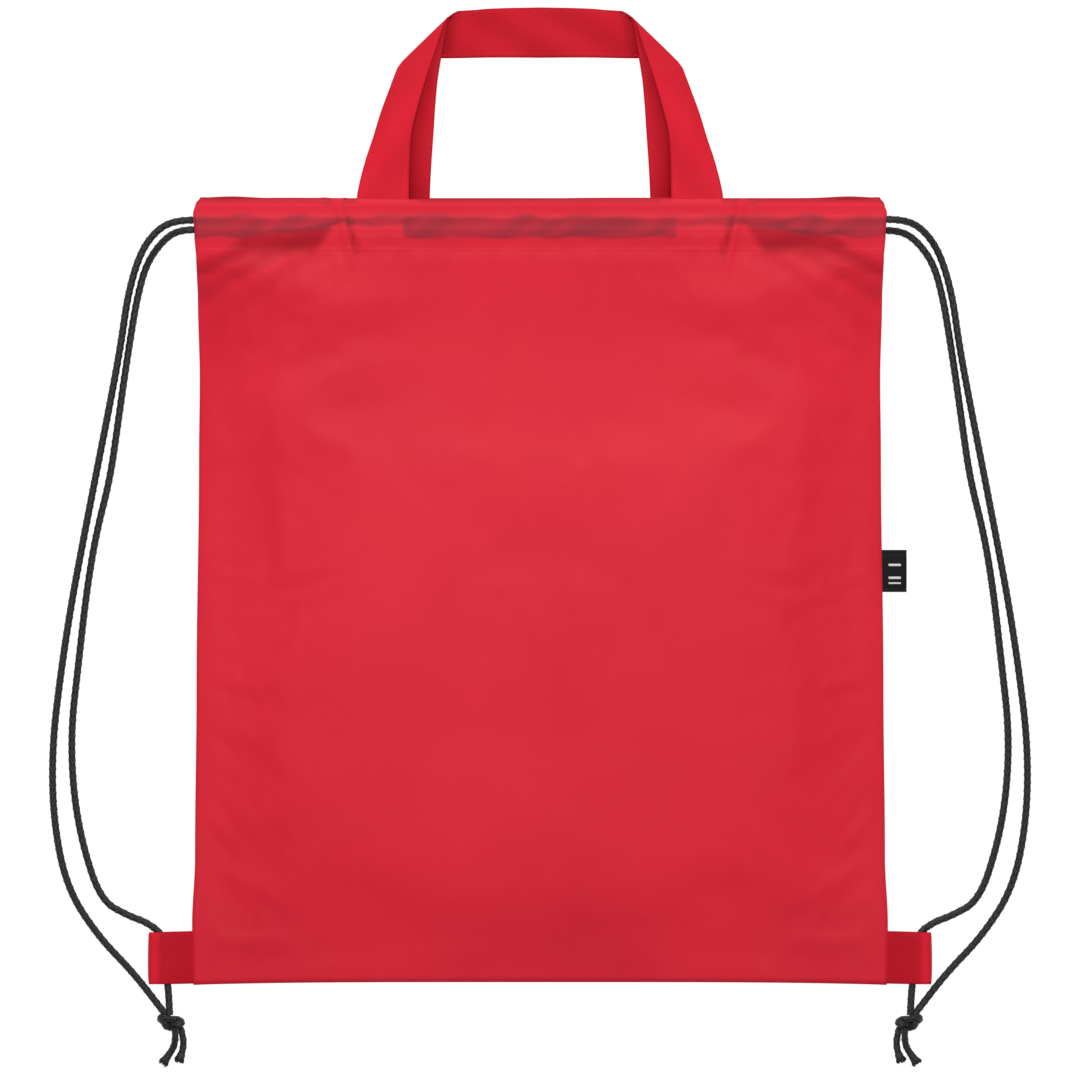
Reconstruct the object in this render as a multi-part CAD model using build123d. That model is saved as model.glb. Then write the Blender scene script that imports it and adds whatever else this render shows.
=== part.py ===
from build123d import *
import os
from math import hypot, radians, tan

# A flat drawstring backpack with two carry handles, lying on its back panel.
# Millimetres. +X is to the right, +Y runs from the bottom fold to the handles, +Z is up from the surface.
# The origin is the middle of the bag's footprint, cords left out, on the surface that it lies on.

# ---- cloth body ----
BAG_WIDTH = 360.0            # side seam to side seam
BAG_HEIGHT = 410.0           # bottom fold to mouth edge
HANDLE_RISE = 99.5           # mouth edge to the top of the handles
WAIST = 2.4                  # how far each side is drawn in at the waist
WAIST_BELOW_MOUTH = 115.0
TOP_DRAW_IN = 1.2            # how far each side is drawn in at the lower stitches
CLOTH = 0.6                  # thickness that stands for one layer of cloth
SEAM_WIDTH = 8.0             # seam allowance turned inside
FOLD_WIDTH = 3.0             # flat cloth along the bottom fold
MOUTH_GAP = 8.0              # height left between the two hems
SIDE_SLOPE = 12.0            # width of the slope from the seam up to the front panel
SEAM_STOP = 2.0              # how far the seam allowances stop short of the hem

# ---- hems and their channels ----
HEM_DEPTH = 28.0             # mouth edge to the lower row of stitches
LIP = 5.0                    # mouth edge to the upper row of stitches
FLANGE = 1.6                 # flat cloth at the lower row of stitches
CORD = 4.0                   # braided cord diameter
CORD_ROOM = 0.8              # clear height of a channel beyond the cord
HEM_SLOPE = 2.8              # width over which a channel rises to its full height
CORNER_CUT = (3.6, 7.0)      # how far a hem's mouth corner is drawn in, across and down
FACING_INSET = 12.5          # how far the inner layer is notched at a side, for the cord's bend
NOTCH_CLEAR = 1.5            # room beside the cords in the notch
THREAD_WIDTH = 0.8
THREAD_HEIGHT = 0.2
THREAD_INSET = 4.0           # from the side to the end of a row of stitches

# ---- cords ----
UPPER_LANE = 11.1            # mouth edge to the upper cord's middle
LANE_GAP = 1.4               # gap between the two cords in a channel
BEND_INSET = 0.6             # how far a cord's bend stays inside the side of the bag
REST_GAP = 0.05              # gap under a cord that lies on the surface
KNOT_LENGTH = 14.9
KNOT_THICKNESS = 8.6
KNOT_PLACE = (192.6, -274.1)
TAIL_FLARE = 2.8             # radius of a melted tail end
FLARE_LENGTH = 3.0
ARC_SHARE = 0.45             # share of the shorter run that an arc takes up

# ---- handles ----
STRAP_WIDTH = 27.0
STRAP = 0.6                  # strap thickness
FRONT_LEG_INNER = 68.3       # middle of the bag to the inner edge of a front handle leg, at the mouth
BACK_LEG_INNER = 57.4        # the same for the back handle
LAYER_PITCH = 1.6            # height from one nested strap layer to the next
HANDLE_GAP = 0.5             # gap between the moving strap and the mouth edge
END_TUCK = 2.0               # how far a sewn strap end stops short of the lower stitches
TOP_RUN_WIDTH = 26.15        # handle top to the lower edge of the handles' top run
TOP_LEVEL_BELOW = 32.75      # handle top to where the back handle's legs stop rising
FOLD_LOW = (69.8, 29.85)     # corner fold line, lower end: from the middle, and below the handle top
FOLD_HIGH = (44.8, 5.65)     # corner fold line, upper end
CROWN = ((0.5, 2.4), (14.0, 1.0))  # top edge: in from the corner fold's upper end, and below the handle top

# ---- corner tabs and side label ----
TAB_LENGTH = 27.4
TAB_REACH = 24.0
TAB_ROOM = 1.4               # clear height of a tab beyond the cord
TAB_ROOT = 1.8               # height of the tab where it meets the seam
TAB_ROOT_FOOT = 0.6
TAB_CHAMFER = 2.4            # width over which the tab's lower layer comes down from the seam
TAB_SHOULDER = (9.0, 0.6)    # where the tab's upper layer levels out: reach, and below its top
TAB_FROM_BOTTOM = 0.5
PIECE_GAP = 0.3              # gap from the side seam to a tab or the label
LABEL_LENGTH = 22.0
LABEL_REACH = 13.0
LABEL_THICKNESS = 0.8
LABEL_ROUND = 0.44           # edge radius as a share of the label's thickness
LABEL_BELOW_MOUTH = 194.1    # mouth edge to the label's middle

# ---- worked out from the sizes above ----
HALF = BAG_WIDTH / 2
BOTTOM = -(BAG_HEIGHT + HANDLE_RISE) / 2
MOUTH = BOTTOM + BAG_HEIGHT
HANDLE_TOP = MOUTH + HANDLE_RISE
LOWER_STITCH = MOUTH - HEM_DEPTH
UPPER_STITCH = MOUTH - LIP
HEM_HEIGHT = CORD + CORD_ROOM + 2 * CLOTH
FRONT_BASE = HEM_HEIGHT + MOUTH_GAP
BACK_LANE_Z = HEM_HEIGHT / 2
FRONT_LANE_Z = FRONT_BASE + HEM_HEIGHT / 2
LANES = (MOUTH - UPPER_LANE, MOUTH - UPPER_LANE - CORD - LANE_GAP)
REST = CORD / 2 + REST_GAP
TAB_HEIGHT = CORD + TAB_ROOM + 2 * CLOTH
WAIST_Y = MOUTH - WAIST_BELOW_MOUTH
SIDES = ((-1, "left"), (1, "right"))
HANDLE_START = MOUTH + HANDLE_GAP
CREASE_LOW = (FOLD_LOW[0], HANDLE_TOP - FOLD_LOW[1])
CREASE_HIGH = (FOLD_HIGH[0], HANDLE_TOP - FOLD_HIGH[1])
STRAP_BOTTOM = HANDLE_TOP - TOP_RUN_WIDTH
# how far up the corner fold the top run's lower edge meets it
FOLD_SHARE = (STRAP_BOTTOM - CREASE_LOW[1]) / (CREASE_HIGH[1] - CREASE_LOW[1])

# ---- the handle legs' edges, from the mouth to the corner fold: distance from the middle, and Y ----
FRONT_LEG_OUTER = [(84.0, MOUTH + 40.0), (76.1, HANDLE_TOP - 35.5)]
FRONT_LEG_INSIDE = [(56.1, HANDLE_TOP - 25.0), (59.3, HANDLE_TOP - 33.5), (66.8, MOUTH + 35.0)]
BACK_LEG_OUTER = [(76.4, MOUTH + 40.0)]
BACK_LEG_INSIDE = [(51.0, HANDLE_TOP - 26.0), (54.2, HANDLE_TOP - 48.0)]

# ---- the free strands, both sides alike, from the hem to the knot or tab: distance from the middle, and Y ----
OUTER_ROUTE = [
    (180.0, 144.15), (189.5, 144.15), (199.5, 139.5), (208.5, 127.5), (215.0, 105.5), (218.5, 80.0),
    (224.0, 50.0), (231.5, 12.0), (238.5, -24.0), (244.5, -56.0), (250.0, -92.0), (254.5, -130.0),
    (254.0, -168.0), (247.0, -204.0), (230.5, -229.5), (212.0, -248.5), (196.8, -268.3),
]
INNER_ROUTE = [
    (180.0, 138.75), (188.0, 138.75), (197.0, 133.0), (205.5, 121.0), (210.0, 104.0), (212.8, 88.0),
    (216.8, 62.0), (220.3, 37.0), (224.3, 9.0), (231.7, -20.0), (236.7, -51.0), (240.6, -86.0),
    (244.6, -121.0), (243.6, -153.0), (238.6, -182.0), (229.0, -211.0), (214.0, -219.0),
    (206.5, -221.6), (201.0, -225.2),
]
FROM_FRONT = (FRONT_LANE_Z, FRONT_LANE_Z, 8.0)  # heights where a strand drops from the front channel
FROM_BACK = (BACK_LANE_Z, BACK_LANE_Z, 2.3)     # and from the back channel
TAB_ROUTE = [
    (200.3, -225.7, 2.9), (198.0, -228.0, 3.2), (197.0, -232.5, 3.3), (195.9, -242.0, 3.3),
    (194.3, -253.0, 3.3), (193.5, -261.5, 3.8), (193.1, -270.5, 4.3),
]
LONG_TAIL = [
    (190.2, -277.0, 6.5), (190.0, -282.0, 5.6), (190.9, -287.0, 3.4), (193.8, -291.5, 2.9),
    (196.0, -294.6, 2.85),
]
SHORT_TAIL = [
    (187.6, -277.0, 2.4), (186.2, -281.5, 2.3), (185.9, -286.5, 2.6), (187.0, -291.0, 2.85),
    (188.0, -293.4, 2.85),
]

os.makedirs("parts", exist_ok=True)


def save(name, *solids):
    """Write one node."""
    shape = solids[0] if len(solids) == 1 else Compound(children=list(solids))
    export_step(shape, f"parts/{name}.step")


def block(x0, x1, y0, y1, z0, z1):
    """A box between two corners."""
    return Pos((x0 + x1) / 2, (y0 + y1) / 2, (z0 + z1) / 2) * Box(x1 - x0, y1 - y0, z1 - z0)


def plate(outline, z0, z1):
    """A flat plate with the given plan outline."""
    face = Plane.XY.offset(z0) * make_face(Polyline(*outline, close=True))
    return extrude(face, amount=z1 - z0, dir=(0, 0, 1))


def across(outline, x0, x1):
    """A bar with the given (Y, Z) section, from x0 to x1."""
    face = make_face(Polyline(*[(x0, y, z) for y, z in outline], close=True))
    return extrude(face, amount=x1 - x0, dir=(1, 0, 0))


def mirrored(shape, side):
    """A right-hand shape as it is, or its mirror image for the left side."""
    return shape if side > 0 else mirror(shape, about=Plane.YZ)


def side_at(y):
    """Half the bag's width at height y: straight from the bottom to the waist and on to the hem."""
    if y < WAIST_Y:
        return HALF - WAIST * (y - BOTTOM) / (WAIST_Y - BOTTOM)
    return HALF - WAIST + (WAIST - TOP_DRAW_IN) * (y - WAIST_Y) / (LOWER_STITCH - WAIST_Y)


def side_strip(width, y0, y1, z0, z1):
    """A flat strip along the right side seam."""
    heights = (y0, WAIST_Y, y1)
    outer = [(side_at(y), y) for y in heights]
    inner = [(x - width, y) for x, y in reversed(outer)]
    return plate(outer + inner, z0, z1)


# ---- panels ----
def back_panel():
    right = [(side_at(y), y) for y in (BOTTOM, WAIST_Y, LOWER_STITCH)]
    left = [(-x, y) for x, y in reversed(right)]
    return plate(right + left, 0, CLOTH)


def frustum(low_half, low_y, low_z, high_half, high_y, high_z):
    """A block whose sides and bottom end slope in, and whose mouth end is upright."""
    faces = []
    for half, y0, z in ((low_half, low_y, low_z), (high_half, high_y, high_z)):
        faces.append(Plane.XY.offset(z) * make_face(
            Polyline((-half, y0), (half, y0), (half, LOWER_STITCH), (-half, LOWER_STITCH), close=True)))
    return loft(faces)


def front_panel():
    foot_half = HALF - WAIST - SEAM_WIDTH
    foot_y = BOTTOM + FOLD_WIDTH
    top_half = foot_half - SIDE_SLOPE
    top_y = foot_y + SIDE_SLOPE
    foot_z = 2 * CLOTH
    rise = FRONT_BASE + CLOTH - foot_z
    wall = CLOTH * hypot(rise, SIDE_SLOPE) / rise
    lean = CLOTH * SIDE_SLOPE / rise
    outer = frustum(foot_half, foot_y, foot_z, top_half, top_y, FRONT_BASE + CLOTH)
    draw = wall - lean
    inner = frustum(foot_half - wall, foot_y + wall, foot_z, top_half - draw, top_y + draw, FRONT_BASE)
    shell = outer - inner
    for side, _ in SIDES:
        foot = side_strip(SEAM_WIDTH + WAIST, BOTTOM, LOWER_STITCH, foot_z, foot_z + CLOTH)
        keep = block(foot_half - wall, HALF, BOTTOM, LOWER_STITCH, foot_z, foot_z + CLOTH)
        shell += mirrored(foot & keep, side)
    inside = side_at(BOTTOM) - SEAM_WIDTH - WAIST
    shell += block(-foot_half, foot_half, BOTTOM, foot_y + wall, foot_z, foot_z + CLOTH)
    shell += block(-inside, inside, BOTTOM, foot_y, CLOTH, foot_z)
    return shell


# ---- hems ----
def hem_outline():
    """Plan outline of a hem: its mouth corners are drawn in."""
    right = [
        (side_at(LOWER_STITCH), LOWER_STITCH), (HALF, LOWER_STITCH + HEM_DEPTH / 3),
        (HALF, MOUTH - CORNER_CUT[1]), (HALF - CORNER_CUT[0], MOUTH),
    ]
    return right + [(-x, y) for x, y in reversed(right)]


def hem(base, face, outer):
    """One hem. face is the height of its inner face, outer the height of its outside."""
    away = 1 if outer > face else -1
    lip = face + away * 2 * CLOTH
    slope = HEM_SLOPE / (HEM_HEIGHT - 2 * CLOTH)
    spread = HEM_SLOPE + slope * 2 * CLOTH
    y0 = LOWER_STITCH + FLANGE - slope * 2 * CLOTH
    y1 = UPPER_STITCH + slope * 2 * CLOTH
    if away > 0:
        tube = [(y0, face), (y1, face), (y1 - spread, outer), (y0 + spread, outer)]
    else:
        tube = [(y0, outer), (y1 - spread, outer), (y1, face), (y0 + spread, face)]
    skin = Face(Wire.make_polygon([Vector(0, y, z) for y, z in tube], close=True))
    hollow = offset(skin, -CLOTH, kind=Kind.INTERSECTION)
    bar = Pos(-HALF, 0, 0) * extrude(skin, amount=BAG_WIDTH, dir=(1, 0, 0))
    bar += block(-HALF, HALF, UPPER_STITCH - LIP / 2, MOUTH, min(face, lip), max(face, lip))
    bar += block(-HALF, HALF, LOWER_STITCH, LOWER_STITCH + FLANGE + HEM_SLOPE / 2, base, base + 2 * CLOTH)
    bar -= Pos(-HALF, 0, 0) * extrude(hollow, amount=BAG_WIDTH, dir=(1, 0, 0))
    bar &= plate(hem_outline(), min(0, outer) - CLOTH, max(face, outer) + CLOTH)
    y_low = LANES[1] - CORD / 2 - NOTCH_CLEAR
    y_high = LANES[0] + CORD / 2 + NOTCH_CLEAR
    z_low, z_high = sorted((face - away * CLOTH, face + away * CLOTH))
    for side, _ in SIDES:
        bar -= mirrored(block(HALF - FACING_INSET, HALF + CLOTH, y_low, y_high, z_low, z_high), side)
    return bar


def thread_rows(upper_z, lower_z):
    """Two rows of stitches, each as one flat bar."""
    reach = HALF - THREAD_INSET
    upper = UPPER_STITCH + THREAD_WIDTH
    lower = LOWER_STITCH + FLANGE / 2
    rows = []
    for y, z in ((upper, upper_z), (lower, lower_z)):
        rows.append(block(-reach, reach, y - THREAD_WIDTH / 2, y + THREAD_WIDTH / 2, z, z + THREAD_HEIGHT))
    return rows


# ---- cords ----
def arc_radii(points):
    """The radius at each corner: ARC_SHARE of the shorter run over the tangent of half the turn."""
    radii = []
    for before, here, after in zip(points, points[1:], points[2:]):
        turn = (here - before).get_angle(after - here)
        shorter = min((here - before).length, (after - here).length)
        radii.append(ARC_SHARE * shorter / tan(radians(turn / 2)))
    return radii


def tube(name, route):
    """A cord along straight runs joined by tangent arcs."""
    points = [Vector(*point) for point in route]
    radii = arc_radii(points)
    path = FilletPolyline(*points, radius=radii)
    solid = sweep(Plane(origin=path @ 0, z_dir=path % 0) * Circle(CORD / 2), path=path)
    share = solid.volume / (Circle(CORD / 2).area * path.length)
    print(f"{name}: length {path.length:.1f}, smallest radius {min(radii):.1f}, volume share {share:.4f}")
    return solid


def strand(name, plan, start, side):
    """A free strand: it leaves the hem at the start heights and then lies on the surface."""
    heights = list(start) + [REST] * (len(plan) - len(start))
    return tube(name, [(side * x, y, z) for (x, y), z in zip(plan, heights)])


def channel_run(front_y, back_y, side):
    """The cord inside the channels: in through the front one, round the far end, out through the back one."""
    reach = hypot(FRONT_LANE_Z - BACK_LANE_Z, front_y - back_y) / 2
    turn_x = HALF - BEND_INSET - CORD / 2 - reach
    middle = ((front_y + back_y) / 2, (FRONT_LANE_Z + BACK_LANE_Z) / 2)
    near = Vector(HALF * side, front_y, FRONT_LANE_Z)
    bend_in = Vector(-turn_x * side, front_y, FRONT_LANE_Z)
    apex = Vector(-(turn_x + reach) * side, *middle)
    bend_out = Vector(-turn_x * side, back_y, BACK_LANE_Z)
    back = Vector(HALF * side, back_y, BACK_LANE_Z)
    path = Line(near, bend_in) + ThreePointArc(bend_in, apex, bend_out) + Line(bend_out, back)
    section = Plane(origin=near, z_dir=bend_in - near) * Circle(CORD / 2)
    return sweep(section, path=Wire(path.edges()))


def knot(side):
    """The knot's outer shape: a lozenge with round ends, lying across the cord."""
    radius = KNOT_THICKNESS / 2
    x, y = KNOT_PLACE
    half = KNOT_LENGTH / 2 - radius
    body = Rot(0, 90, 0) * Cylinder(radius, 2 * half)
    body += Pos(half, 0, 0) * Sphere(radius)
    body += Pos(-half, 0, 0) * Sphere(radius)
    return Pos(side * x, y, radius) * body


def tail(name, route, side):
    """A cord end that leaves the knot and spreads at its melted tip."""
    points = [(side * x, y, z) for x, y, z in route]
    body = tube(name, points)
    end = Vector(*points[-1])
    way = (end - Vector(*points[-2])).normalized()
    tip = Plane(origin=end, z_dir=way) * Cone(CORD / 2, TAIL_FLARE, FLARE_LENGTH,
                                              align=(Align.CENTER, Align.CENTER, Align.MIN))
    return body + tip


# ---- handles ----
def crease_ring(low_z, high_z):
    """The rolled corner between a leg and the top run, right-hand side."""
    low = Vector(*CREASE_LOW, 0)
    high = Vector(*CREASE_HIGH, 0)
    way = (high - low).normalized()
    start = low + way * (FOLD_SHARE * (high - low).length)
    middle = Vector(start.X, start.Y, (low_z + high_z) / 2)
    radius = (high_z - low_z) / 2
    outside = Vector(-way.Y, way.X, 0) * (1 if -way.Y > 0 else -1)
    plane = Plane(origin=middle, x_dir=outside, z_dir=way)
    ring = Circle(radius + STRAP / 2) - Circle(radius - STRAP / 2)
    half_ring = plane * (ring & Pos(HEM_HEIGHT, 0) * Rectangle(2 * HEM_HEIGHT, 2 * HEM_HEIGHT))
    return extrude(half_ring, amount=(high - start).length, dir=way)


def handle(leg, leg_section, low_z, high_z):
    """A strap in one piece: two legs, two rolled corners and the top run."""
    corner_x = CREASE_LOW[0] + FOLD_SHARE * (CREASE_HIGH[0] - CREASE_LOW[0])
    right = [(corner_x, STRAP_BOTTOM), CREASE_HIGH]
    right += [(CREASE_HIGH[0] - inwards, HANDLE_TOP - down) for inwards, down in CROWN]
    top = [(0, HANDLE_TOP)] + [(-x, y) for x, y in reversed(right)] + right
    body = plate(top, low_z - STRAP / 2, low_z + STRAP / 2)
    for side, _ in SIDES:
        bar = across(leg_section, 0, HALF)
        shape = bar & plate(leg, 0, FRONT_BASE + HEM_HEIGHT)
        body += mirrored(shape, side)
        body += mirrored(crease_ring(low_z, high_z), side)
    return body


def front_handle():
    z = FRONT_BASE - STRAP / 2
    foot = [(FRONT_LEG_INNER, HANDLE_START), (FRONT_LEG_INNER + STRAP_WIDTH, HANDLE_START)]
    leg = foot + FRONT_LEG_OUTER + [CREASE_LOW, CREASE_HIGH] + FRONT_LEG_INSIDE
    section = [(HANDLE_START, z - STRAP / 2), (HANDLE_TOP, z - STRAP / 2),
               (HANDLE_TOP, z + STRAP / 2), (HANDLE_START, z + STRAP / 2)]
    return handle(leg, section, z - 3 * LAYER_PITCH, z)


def back_handle():
    z = FRONT_BASE - STRAP / 2 - LAYER_PITCH
    base = HEM_HEIGHT + STRAP / 2
    top_level = HANDLE_TOP - TOP_LEVEL_BELOW
    foot = [(BACK_LEG_INNER, HANDLE_START), (BACK_LEG_INNER + STRAP_WIDTH, HANDLE_START)]
    leg = foot + BACK_LEG_OUTER + [CREASE_LOW, CREASE_HIGH] + BACK_LEG_INSIDE
    section = [
        (HANDLE_START, base - STRAP / 2), (top_level, z - STRAP / 2), (HANDLE_TOP, z - STRAP / 2),
        (HANDLE_TOP, z + STRAP / 2), (top_level, z + STRAP / 2), (HANDLE_START, base + STRAP / 2),
    ]
    return handle(leg, section, z - LAYER_PITCH, z)


def strap_end(inner, z0, side):
    """The sewn-down end of a handle, on the inner face of its hem."""
    low = LOWER_STITCH + FLANGE + HEM_SLOPE + END_TUCK
    end = block(inner, inner + STRAP_WIDTH, low, MOUTH, z0, z0 + STRAP)
    return mirrored(end, side)


# ---- corner tabs and label ----
def corner_tab(side):
    """A folded loop in the side seam, open along Y for the cord."""
    y0 = BOTTOM + TAB_FROM_BOTTOM
    y1 = y0 + TAB_LENGTH
    root = side_at(y0) + PIECE_GAP
    radius = TAB_HEIGHT / 2
    tip = root + TAB_REACH - radius

    def loop(inset):
        low = inset
        high = TAB_HEIGHT - inset
        foot = root + TAB_CHAMFER + 2 * inset
        shoulder = (root + TAB_SHOULDER[0], high - TAB_SHOULDER[1])
        edges = [
            Line((foot, low), (tip, low)),
            ThreePointArc((tip, low), (tip + radius - inset, radius), (tip, high)),
            Line((tip, high), shoulder),
        ]
        if inset:
            edges.append(Line(shoulder, (foot, low)))
        else:
            edges.append(Line(shoulder, (root, TAB_ROOT)))
            edges.append(Line((root, TAB_ROOT), (root, TAB_ROOT_FOOT)))
            edges.append(Line((root, TAB_ROOT_FOOT), (foot, low)))
        return Plane(origin=(0, y0, 0), x_dir=(1, 0, 0), z_dir=(0, -1, 0)) * make_face(edges)

    outside, inside = [extrude(loop(inset), amount=TAB_LENGTH, dir=(0, 1, 0)) for inset in (0, CLOTH)]
    return mirrored(outside - inside, side)


def side_label():
    y = MOUTH - LABEL_BELOW_MOUTH
    x0 = side_at(y - LABEL_LENGTH / 2) + PIECE_GAP
    z0 = CLOTH
    body = block(x0, x0 + LABEL_REACH, y - LABEL_LENGTH / 2, y + LABEL_LENGTH / 2, z0, z0 + LABEL_THICKNESS)
    return fillet(body.edges().filter_by(Axis.Y).group_by(Axis.X)[-1], LABEL_THICKNESS * LABEL_ROUND)


save("back_panel", back_panel())
save("front_panel", front_panel())
save("back_hem", hem(0, HEM_HEIGHT, 0))
save("front_hem", hem(FRONT_BASE, FRONT_BASE, FRONT_BASE + HEM_HEIGHT))
save("back_hem_thread", *thread_rows(HEM_HEIGHT - 2 * CLOTH - THREAD_HEIGHT, 2 * CLOTH))
save("front_hem_thread", *thread_rows(FRONT_BASE + 2 * CLOTH, FRONT_BASE + 2 * CLOTH))
save("front_handle", front_handle())
save("back_handle", back_handle())
save("side_label", side_label())

for side, word in SIDES:
    allowance = side_strip(SEAM_WIDTH, BOTTOM, LOWER_STITCH - SEAM_STOP, CLOTH, 2 * CLOTH)
    save(f"{word}_seam_allowance", mirrored(allowance, side))
    save(f"{word}_corner_tab", corner_tab(side))
    save(f"front_handle_{word}_end", strap_end(FRONT_LEG_INNER, FRONT_BASE - STRAP, side))
    save(f"back_handle_{word}_end", strap_end(BACK_LEG_INNER, HEM_HEIGHT, side))
    # the right cord's upper strand is the front one, and the left cord's is the back one
    front_y, back_y = LANES if side > 0 else LANES[::-1]
    outer_start, inner_start = (FROM_FRONT, FROM_BACK) if side > 0 else (FROM_BACK, FROM_FRONT)
    save(f"{word}_cord_channel_run", channel_run(front_y, back_y, side))
    save(f"{word}_cord_outer_strand", strand(f"{word} outer strand", OUTER_ROUTE, outer_start, side))
    save(f"{word}_cord_inner_strand", strand(f"{word} inner strand", INNER_ROUTE, inner_start, side))
    save(f"{word}_cord_tab_run", tube(f"{word} tab run", [(side * x, y, z) for x, y, z in TAB_ROUTE]))
    save(f"{word}_knot", knot(side))
    save(f"{word}_long_tail", tail(f"{word} long tail", LONG_TAIL, side))
    save(f"{word}_short_tail", tail(f"{word} short tail", SHORT_TAIL, side))
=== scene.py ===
from math import cos, hypot, pi, radians, sin

import bpy
import numpy as np
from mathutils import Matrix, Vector


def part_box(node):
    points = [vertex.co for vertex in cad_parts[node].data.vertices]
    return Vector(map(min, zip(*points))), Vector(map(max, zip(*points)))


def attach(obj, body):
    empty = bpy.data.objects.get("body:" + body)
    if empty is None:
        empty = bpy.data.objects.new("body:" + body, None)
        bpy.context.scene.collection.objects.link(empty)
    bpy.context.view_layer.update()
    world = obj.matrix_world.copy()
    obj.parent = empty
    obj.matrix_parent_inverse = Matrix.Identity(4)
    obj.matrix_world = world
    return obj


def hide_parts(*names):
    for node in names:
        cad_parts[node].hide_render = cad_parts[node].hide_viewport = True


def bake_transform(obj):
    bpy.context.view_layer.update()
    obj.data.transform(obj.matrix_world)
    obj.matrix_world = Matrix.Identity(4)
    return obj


# A flat drawstring backpack with two carry handles, lying on its back.
# Sizes are in millimetres and become metres where a mesh is made.
# +Y runs from the bottom fold to the handles.

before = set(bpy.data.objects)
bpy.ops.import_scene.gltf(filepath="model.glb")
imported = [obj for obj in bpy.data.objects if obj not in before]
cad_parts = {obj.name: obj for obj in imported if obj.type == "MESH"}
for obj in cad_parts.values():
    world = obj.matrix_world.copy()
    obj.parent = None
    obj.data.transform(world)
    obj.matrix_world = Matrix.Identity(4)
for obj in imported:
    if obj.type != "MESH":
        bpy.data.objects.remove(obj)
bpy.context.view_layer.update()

MM = 0.001
SIDES = ((-1, "left"), (1, "right"))


def corners(node):
    """A CAD node's lowest and highest corner."""
    low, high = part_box(node)
    return low / MM, high / MM


# ---- sizes read from the frame ----
BOTTOM = corners("back_panel")[0].y
LOWER_STITCH = corners("front_hem")[0].y
MOUTH = corners("front_hem")[1].y
HEM_DEPTH = MOUTH - LOWER_STITCH
FRONT_BASE = corners("front_hem")[0].z            # inner face of the front hem
FRONT_TOP = corners("front_hem")[1].z
BACK_TOP = corners("back_hem")[1].z               # inner face of the back hem
HALF = corners("front_hem")[1].x
FRONT_LEG_Z = corners("front_handle")[1].z        # upper face of the front handle's legs

# ---- cloth ----
CLOTH = 0.3                  # thickness of the taffeta
LIP = 5.0                    # mouth edge to the upper row of stitches
UPPER_LANE = 11.1            # mouth edge to the middle of the upper cord
LOWER_LANE = 16.5            # mouth edge to the middle of the lower cord
STRAP = 0.6                  # thickness of a folded strap
THREAD = 0.34                # thickness of the hems' sewing thread
STRAP_THREAD = 0.3
CORD = 4.0


# ---- helpers for shapes ----
def ease(t):
    t = np.clip(t, 0.0, 1.0)
    return t * t * (3 - 2 * t)


def dome(t):
    """Rises steeply at first and levels out at 1."""
    return 1 - (1 - np.clip(t, 0.0, 1.0)) ** 2


def bell(x, middle, width):
    return np.exp(-((x - middle) / width) ** 2)


def eased_line(points):
    """A smooth line that is level at each of its points."""
    places, values = np.array(points, float).T

    def value(x):
        x = np.clip(x, places[0], places[-1])
        i = np.clip(np.searchsorted(places, x, side="right") - 1, 0, len(places) - 2)
        t = (x - places[i]) / (places[i + 1] - places[i])
        return values[i] + (values[i + 1] - values[i]) * (0.5 - 0.5 * np.cos(np.pi * t))

    return value


def through(points, steps):
    """Catmull-Rom curve through points, with that many steps from one to the next."""
    p = np.array(points, float)
    p = np.vstack([2 * p[0] - p[1], p, 2 * p[-1] - p[-2]])
    out = []
    for a, b, c, d in zip(p, p[1:], p[2:], p[3:]):
        for t in np.arange(steps) / steps:
            out.append(0.5 * (2 * b + (c - a) * t + (2 * a - 5 * b + 4 * c - d) * t ** 2
                              + (3 * b - a - 3 * c + d) * t ** 3))
    return np.array(out + [p[-2]])


def link(obj):
    bpy.context.scene.collection.objects.link(obj)
    return obj


def smooth(mesh):
    mesh.polygons.foreach_set("use_smooth", np.ones(len(mesh.polygons), bool))


def grid_mesh(name, points, uv, closed=False, capped=False, flip=False):
    """A mesh of quads over rows of points in millimetres, closed across each row if asked for."""
    rows, columns = points.shape[:2]
    across = columns if closed else columns - 1
    r, c = np.meshgrid(np.arange(rows - 1), np.arange(across), indexing="ij")
    a = (r * columns + c).ravel()
    b = (r * columns + (c + 1) % columns).ravel()
    quads = np.stack([a, b, b + columns, a + columns], axis=1)
    if flip:
        quads = quads[:, ::-1]
    faces = quads.tolist()
    if capped:
        faces += [list(range(columns))[::-1], list(range((rows - 1) * columns, rows * columns))]
    mesh = bpy.data.meshes.new(name)
    mesh.from_pydata((points.reshape(-1, 3) * MM).tolist(), [], faces)
    layer = mesh.uv_layers.new(name="flat")
    vertex = np.zeros(len(mesh.loops), np.int32)
    mesh.loops.foreach_get("vertex_index", vertex)
    layer.data.foreach_set("uv", (uv.reshape(-1, 2)[vertex] * MM).ravel())
    smooth(mesh)
    mesh.update()
    return link(bpy.data.objects.new(name, mesh))


def flat_lengths(points):
    """Each grid point's place on the cloth laid flat: across its row and along its column."""
    across = np.zeros(points.shape[:2])
    along = np.zeros(points.shape[:2])
    across[:, 1:] = np.cumsum(np.linalg.norm(np.diff(points, axis=1), axis=2), axis=1)
    along[1:] = np.cumsum(np.linalg.norm(np.diff(points, axis=0), axis=2), axis=0)
    return np.stack([across, along], axis=2)


def mesh_of(obj):
    """The evaluated mesh, as plain data."""
    depsgraph = bpy.context.evaluated_depsgraph_get()
    return bpy.data.meshes.new_from_object(obj.evaluated_get(depsgraph), depsgraph=depsgraph)


def thicken(obj, thickness):
    """Gives a sheet its thickness, on the side away from its normals."""
    solid = obj.modifiers.new("thickness", "SOLIDIFY")
    solid.thickness = thickness * MM
    solid.offset = -1.0
    mesh = mesh_of(obj)
    obj.modifiers.clear()
    obj.data = mesh


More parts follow.
